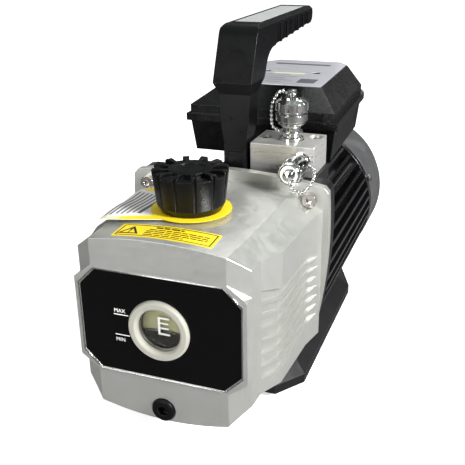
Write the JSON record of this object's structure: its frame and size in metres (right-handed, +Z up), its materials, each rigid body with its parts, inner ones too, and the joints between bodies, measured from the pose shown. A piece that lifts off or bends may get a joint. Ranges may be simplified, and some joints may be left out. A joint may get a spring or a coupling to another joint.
{
  "type": "hvac vacuum pump",
  "caption": "Oil-sealed rotary-vane vacuum pump for refrigeration service, with finned motor, oil sight glass, capped flare intake ports and a carrying handle.",
  "frame": {"origin": "on the ground under the rubber feet, half way along and half way across the pump", "axes": "+Z up; the shaft lies along Y with the oil casing and its sight glass facing -Y and the motor at +Y; +X is the right side seen from the sight glass"},
  "size_m": [0.1408, 0.3712, 0.2436],
  "materials": {
    "casing_metal": "die-cast, satin painted light grey",
    "panel_black": "gloss black",
    "ring_metal": "satin anodised",
    "window_glass": "clear",
    "black_plastic": "fine grain black",
    "rubber_black": "matt",
    "paper": "printed card",
    "gasket_grey": "fibre gasket",
    "black_casting": "black powder coat",
    "motor_black": "gloss black enamel",
    "cast_steel": "ground faces",
    "bright_steel": "ground",
    "spring_steel": "blued strip",
    "composite": "fibre composite",
    "sheet_steel": "zinc plated",
    "laminations": "stacked sheet",
    "copper": "enamelled wire",
    "fan_plastic": "moulded",
    "cowl_grey": "satin dark grey",
    "plate_print": "printed plate",
    "capacitor_shell": "white shell",
    "manifold_metal": "brushed",
    "chrome": "bright nickel plate",
    "inlay_grey": "soft grey",
    "screw_steel": "zinc plated"
  },
  "bodies": {
    "pump": {"oil_casing": "casing_metal", "front_panel": "panel_black", "sight_glass_ring": "ring_metal", "sight_glass": "window_glass", "fill_tag": "paper", "casing_gasket": "gasket_grey", "pump_bracket": "black_casting", "shaft_seal": "rubber_black", "stage_one_stator": "cast_steel", "stage_two_stator": "cast_steel", "centre_plate": "cast_steel", "end_plate": "cast_steel", "exhaust_reeds": "spring_steel", "oil_baffle": "sheet_steel", "long_bolts": "screw_steel", "motor_housing": "motor_black", "stator_core": "laminations", "windings": "copper", "bearing_outer_rings": "bright_steel", "rear_end_shield": "motor_black", "fan_cowl": "cowl_grey", "terminal_box_body": "black_plastic", "terminal_box_lid": "black_plastic", "data_plate": "plate_print", "switch_housing": "black_plastic", "power_inlet": "black_plastic", "run_capacitor": "capacitor_shell", "intake_manifold": "manifold_metal", "flare_fittings": "chrome", "cap_chains": "chrome", "handle": "black_plastic", "handle_inlay": "inlay_grey", "base_foot": "black_casting", "rubber_feet": "rubber_black", "socket_screws": "screw_steel", "pan_head_screws": "screw_steel"},
    "shaft": {"rotors": "bright_steel", "vane_springs": "spring_steel", "pump_shaft": "bright_steel", "coupling_hubs": "sheet_steel", "coupling_spider": "rubber_black", "motor_rotor": "laminations", "motor_shaft": "bright_steel", "bearing_inner_rings": "bright_steel", "cooling_fan": "fan_plastic"},
    "ball_set": {"bearing_balls": "bright_steel"},
    "stage_one_vane_right": {"stage_one_vane_right": "composite"},
    "stage_one_vane_left": {"stage_one_vane_left": "composite"},
    "stage_two_vane_right": {"stage_two_vane_right": "composite"},
    "stage_two_vane_left": {"stage_two_vane_left": "composite"},
    "fill_seal": {"fill_cap_seal": "rubber_black"},
    "fill_cap": {"oil_fill_cap": "black_plastic"},
    "drain_seal": {"drain_plug_seal": "rubber_black"},
    "drain_plug": {"drain_plug": "black_plastic"},
    "large_seal": {"large_cap_seal": "rubber_black"},
    "large_cap": {"large_flare_cap": "chrome"},
    "small_seal": {"small_cap_seal": "rubber_black"},
    "small_cap": {"small_flare_cap": "chrome"},
    "inlet_valve": {"intake_valve_disc": "rubber_black"},
    "rocker": {"switch_rocker": "black_plastic"}
  },
  "joints": [
    {"name": "shaft_spin", "type": "hinge", "parent": "pump", "child": "shaft", "pos_m": [0, 0, 0.07], "axis": [0, 1, 0], "continuous": true},
    {"name": "ball_spin", "type": "hinge", "parent": "pump", "child": "ball_set", "pos_m": [0, 0, 0.07], "axis": [0, 1, 0], "continuous": true},
    {"name": "stage_one_vane_right_slide", "type": "slide", "parent": "shaft", "child": "stage_one_vane_right", "axis": [1, 0, 0], "range_m": [0, 0.0041]},
    {"name": "stage_one_vane_left_slide", "type": "slide", "parent": "shaft", "child": "stage_one_vane_left", "axis": [-1, 0, 0], "range_m": [0, 0.0041]},
    {"name": "stage_two_vane_right_slide", "type": "slide", "parent": "shaft", "child": "stage_two_vane_right", "axis": [1, 0, 0], "range_m": [0, 0.0041]},
    {"name": "stage_two_vane_left_slide", "type": "slide", "parent": "shaft", "child": "stage_two_vane_left", "axis": [-1, 0, 0], "range_m": [0, 0.0041]},
    {"name": "fill_cap_travel", "type": "slide", "parent": "pump", "child": "fill_seal", "axis": [0, 0, 1], "range_m": [0, 0.01201]},
    {"name": "fill_cap_turn", "type": "hinge", "parent": "fill_seal", "child": "fill_cap", "pos_m": [0, -0.132, 0.16], "axis": [0, 0, 1], "range_deg": [0, 1440]},
    {"name": "drain_plug_travel", "type": "slide", "parent": "pump", "child": "drain_seal", "axis": [0, -1, 0], "range_m": [0, 0.00901]},
    {"name": "drain_plug_turn", "type": "hinge", "parent": "drain_seal", "child": "drain_plug", "pos_m": [0, -0.183, 0.0375], "axis": [0, -1, 0], "range_deg": [0, 2160]},
    {"name": "large_cap_travel", "type": "slide", "parent": "pump", "child": "large_seal", "axis": [0, 0, 1], "range_m": [0, 0.0113]},
    {"name": "large_cap_turn", "type": "hinge", "parent": "large_seal", "child": "large_cap", "pos_m": [0.034, -0.038, 0.19], "axis": [0, 0, 1], "range_deg": [0, 2880]},
    {"name": "small_cap_travel", "type": "slide", "parent": "pump", "child": "small_seal", "axis": [0, -1, 0], "range_m": [0, 0.01017]},
    {"name": "small_cap_turn", "type": "hinge", "parent": "small_seal", "child": "small_cap", "pos_m": [0.046, -0.07, 0.1576], "axis": [0, -1, 0], "range_deg": [0, 2880]},
    {"name": "inlet_valve_lift", "type": "slide", "parent": "pump", "child": "inlet_valve", "axis": [0, 0, 1], "range_m": [0, 0.004]},
    {"name": "switch_tip", "type": "hinge", "parent": "pump", "child": "rocker", "pos_m": [-0.053, 0.056, 0.155], "axis": [0, 0, 1], "range_deg": [0, 14]}
  ],
  "couplings": [
    {"joint": "ball_spin", "follows": "shaft_spin", "ratio": 0.38},
    {"joint": "fill_cap_travel", "follows": "fill_cap_turn", "m_per_rad": 0.00047746},
    {"joint": "drain_plug_travel", "follows": "drain_plug_turn", "m_per_rad": 0.00023873},
    {"joint": "large_cap_travel", "follows": "large_cap_turn", "m_per_rad": 0.00022457},
    {"joint": "small_cap_travel", "follows": "small_cap_turn", "m_per_rad": 0.00020213}
  ]
}
